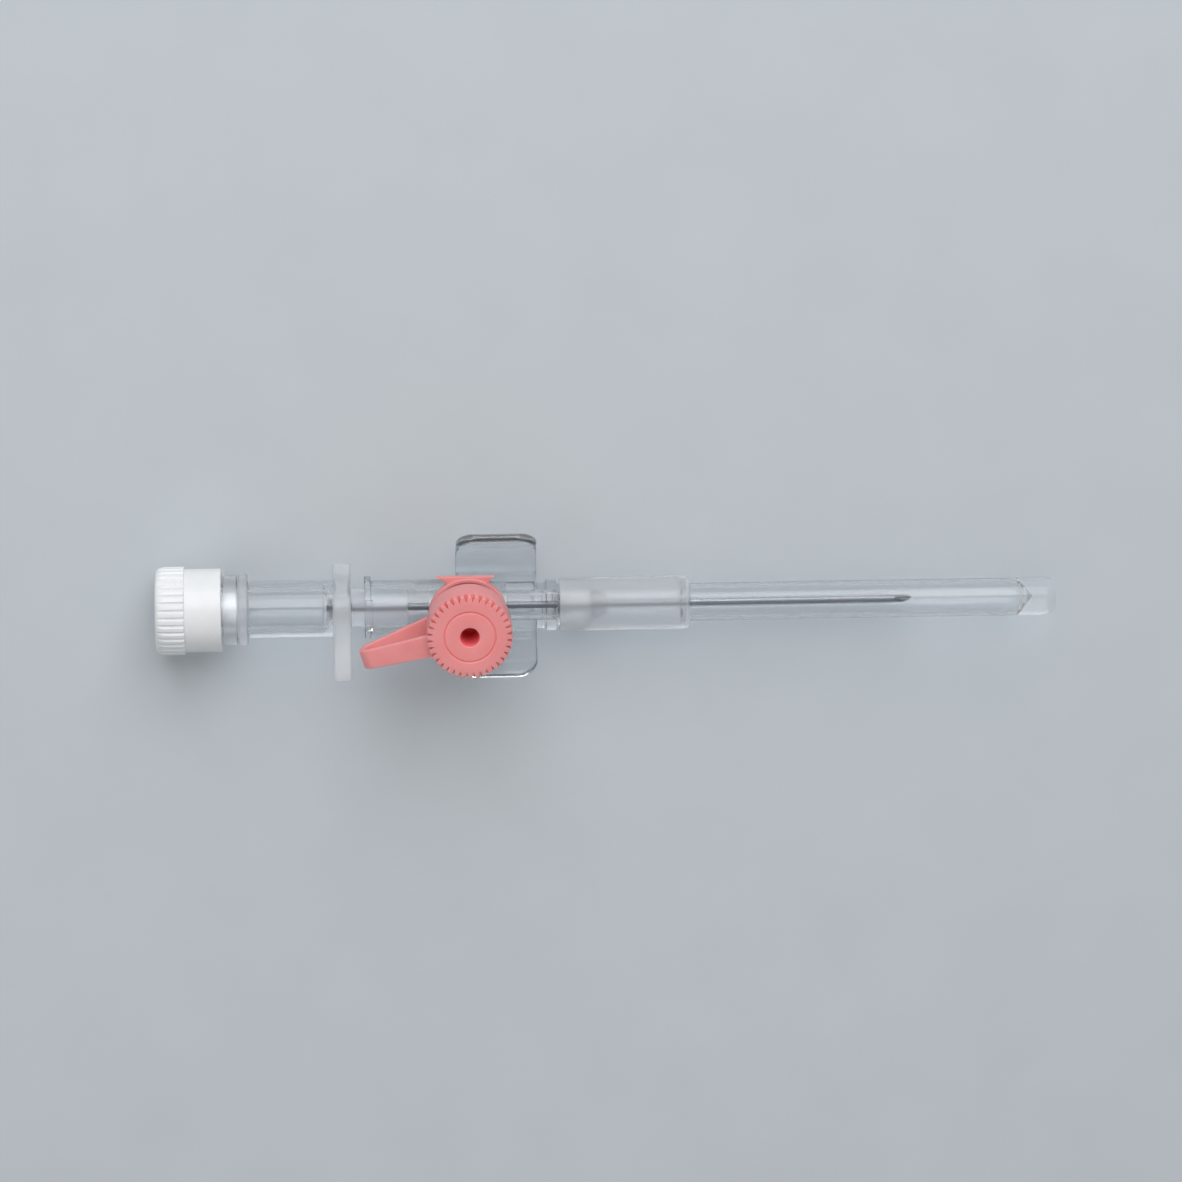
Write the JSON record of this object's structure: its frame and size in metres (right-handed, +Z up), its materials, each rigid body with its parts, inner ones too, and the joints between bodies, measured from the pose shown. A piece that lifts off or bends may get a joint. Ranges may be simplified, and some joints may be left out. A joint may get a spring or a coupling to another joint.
{
  "type": "ported intravenous cannula with needle cover",
  "caption": "Ported winged intravenous cannula with bevelled needle, flash chamber, tethered toothed port cap, screw-off luer plug and pull-off needle cover.",
  "frame": {"origin": "in the plane the wings rest on, straight below the axis of the injection port", "axes": "+X along the cannula towards the tip, +Z up along the injection port, +Y to the left seen from the plug"},
  "size_m": [0.1, 0.0168, 0.0183],
  "materials": {
    "plug_white": "satin moulded",
    "filter": "porous",
    "clear_hub": "clear moulded",
    "steel": "drawn and ground",
    "catheter": "waxy translucent",
    "silicone": "translucent soft",
    "port_pink": "satin moulded",
    "cover_clear": "milky clear moulded"
  },
  "bodies": {
    "hub": {"catheter_hub": "clear_hub", "catheter_tube": "catheter", "catheter_eyelet": "steel", "valve_sleeve": "silicone", "cap_tether": "port_pink"},
    "cover": {"needle_cover": "cover_clear"},
    "needle_set": {"needle_hub": "clear_hub", "needle": "steel"},
    "vent": {"vent_filter": "filter"},
    "plug": {"luer_plug": "plug_white"},
    "cap": {"port_cap": "port_pink"}
  },
  "joints": [
    {"name": "cover_pull", "type": "slide", "parent": "hub", "child": "cover", "axis": [1, 0, 0], "range_m": [0, 0.042]},
    {"name": "needle_withdraw", "type": "slide", "parent": "hub", "child": "needle_set", "axis": [-1, 0, 0], "range_m": [0, 0.064]},
    {"name": "plug_travel", "type": "slide", "parent": "needle_set", "child": "vent", "axis": [-1, 0, 0], "range_m": [0, 0.0075]},
    {"name": "plug_turn", "type": "hinge", "parent": "vent", "child": "plug", "pos_m": [-0.0345, 0, 0.0049], "axis": [-1, 0, 0], "range_deg": [0, 545]},
    {"name": "cap_flip", "type": "hinge", "parent": "hub", "child": "cap", "pos_m": [-0.01081, -0.0033, 0.0126], "axis": [0.2924, -0.9563, 0], "range_deg": [0, 75], "deforming": ["cap_tether"]}
  ],
  "couplings": [
    {"joint": "plug_turn", "follows": "plug_travel", "rad_per_m": 1256.6}
  ]
}
